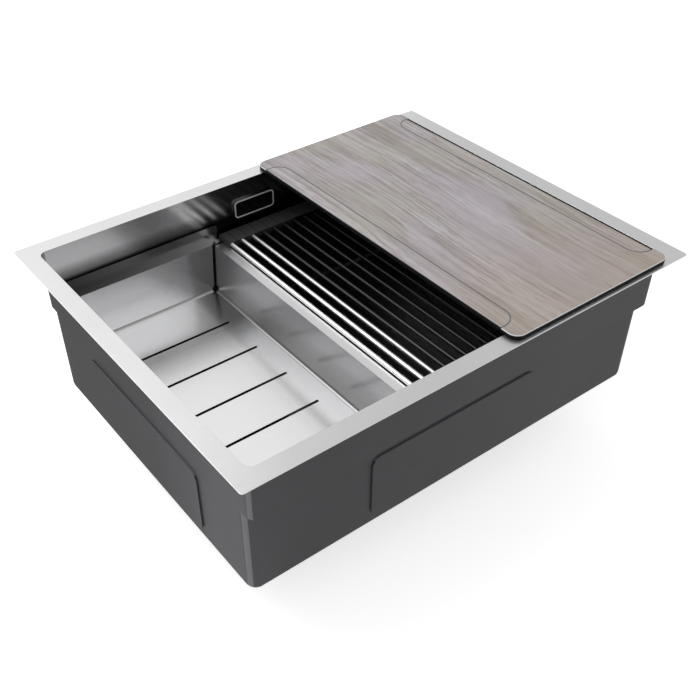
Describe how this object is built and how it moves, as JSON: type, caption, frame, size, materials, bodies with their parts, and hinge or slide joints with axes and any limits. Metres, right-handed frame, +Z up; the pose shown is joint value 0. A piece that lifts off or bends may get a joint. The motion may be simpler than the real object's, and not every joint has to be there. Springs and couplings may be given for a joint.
{
  "type": "workstation kitchen sink",
  "caption": "Flat-rimmed steel workstation sink with a stepped bowl, runner ledge, overflow, basket waste, lift-out colander, roll-up draining mat and sliding chopping board.",
  "frame": {"origin": "centre of the rim's underside, in the plane of the worktop", "axes": "+X to the right along the long side of the rim, from the colander to the board; +Y from front to back, to the overflow; +Z up out of the worktop"},
  "size_m": [0.65, 0.51, 0.2967],
  "materials": {
    "satin_steel": "satin",
    "polished_steel": "polished",
    "pad_coating": "matt",
    "black_rubber": "matt",
    "grey_silicone": "satin",
    "black_plastic": "matt",
    "black_core": "satin",
    "wood_look": "matt"
  },
  "bodies": {
    "sink": {"rim_plate": "satin_steel", "upper_wall_front": "satin_steel", "upper_wall_back": "satin_steel", "upper_wall_left": "satin_steel", "upper_wall_right": "satin_steel", "lower_bowl": "satin_steel", "pad_front": "pad_coating", "pad_back": "pad_coating", "pad_left": "pad_coating", "pad_right": "pad_coating", "pad_floor_left": "pad_coating", "pad_floor_right": "pad_coating", "overflow_cover": "polished_steel", "overflow_gasket": "black_rubber", "overflow_housing": "black_plastic", "overflow_screw_left": "polished_steel", "overflow_screw_right": "polished_steel", "flange_seal": "black_rubber", "waste_flange": "polished_steel", "waste_gasket": "black_rubber", "waste_body": "black_plastic", "clamp_screw": "polished_steel"},
    "colander": {"colander": "satin_steel", "colander_upstand_front": "satin_steel", "colander_upstand_back": "satin_steel"},
    "board": {"board_core": "black_core", "board_top": "wood_look"},
    "basket": {"basket_cup": "polished_steel", "basket_knob": "polished_steel", "basket_seal": "black_rubber"},
    "mat": {"mat_strip_back": "grey_silicone", "mat_strip_front": "grey_silicone", "mat_bar_01": "polished_steel", "mat_bar_02": "polished_steel", "mat_bar_03": "polished_steel", "mat_bar_04": "polished_steel", "mat_bar_05": "polished_steel", "mat_bar_06": "polished_steel", "mat_bar_07": "polished_steel", "mat_bar_08": "polished_steel", "mat_bar_09": "polished_steel", "mat_bar_10": "polished_steel"},
    "mat_link_1": {"mat_bar_11": "polished_steel", "mat_end_back_1": "grey_silicone", "mat_end_front_1": "grey_silicone"},
    "mat_link_2": {"mat_bar_12": "polished_steel", "mat_end_back_2": "grey_silicone", "mat_end_front_2": "grey_silicone"},
    "mat_link_3": {"mat_bar_13": "polished_steel", "mat_end_back_3": "grey_silicone", "mat_end_front_3": "grey_silicone"},
    "mat_link_4": {"mat_bar_14": "polished_steel", "mat_end_back_4": "grey_silicone", "mat_end_front_4": "grey_silicone"}
  },
  "joints": [
    {"name": "colander_lift", "type": "slide", "parent": "sink", "child": "colander", "axis": [0, 0, 1], "range_m": [0, 0.2]},
    {"name": "board_slide", "type": "slide", "parent": "sink", "child": "board", "axis": [1, 0, 0], "range_m": [-0.078, 0.028]},
    {"name": "basket_lift", "type": "slide", "parent": "sink", "child": "basket", "axis": [0, 0, 1], "range_m": [0, 0.09]},
    {"name": "mat_slide", "type": "slide", "parent": "sink", "child": "mat", "axis": [1, 0, 0], "range_m": [0, 0.1]},
    {"name": "mat_curl_1", "type": "hinge", "parent": "mat", "child": "mat_link_1", "pos_m": [0.11978, 0, -0.0637], "axis": [0, -1, 0], "range_deg": [0, 45]},
    {"name": "mat_curl_2", "type": "hinge", "parent": "mat_link_1", "child": "mat_link_2", "pos_m": [0.13723, 0, -0.0637], "axis": [0, -1, 0], "range_deg": [0, 45]},
    {"name": "mat_curl_3", "type": "hinge", "parent": "mat_link_2", "child": "mat_link_3", "pos_m": [0.15468, 0, -0.0637], "axis": [0, -1, 0], "range_deg": [0, 45]},
    {"name": "mat_curl_4", "type": "hinge", "parent": "mat_link_3", "child": "mat_link_4", "pos_m": [0.17213, 0, -0.0637], "axis": [0, -1, 0], "range_deg": [0, 45]}
  ],
  "couplings": [
    {"joint": "mat_curl_2", "follows": "mat_curl_1", "ratio": 1},
    {"joint": "mat_curl_3", "follows": "mat_curl_1", "ratio": 1},
    {"joint": "mat_curl_4", "follows": "mat_curl_1", "ratio": 1}
  ]
}
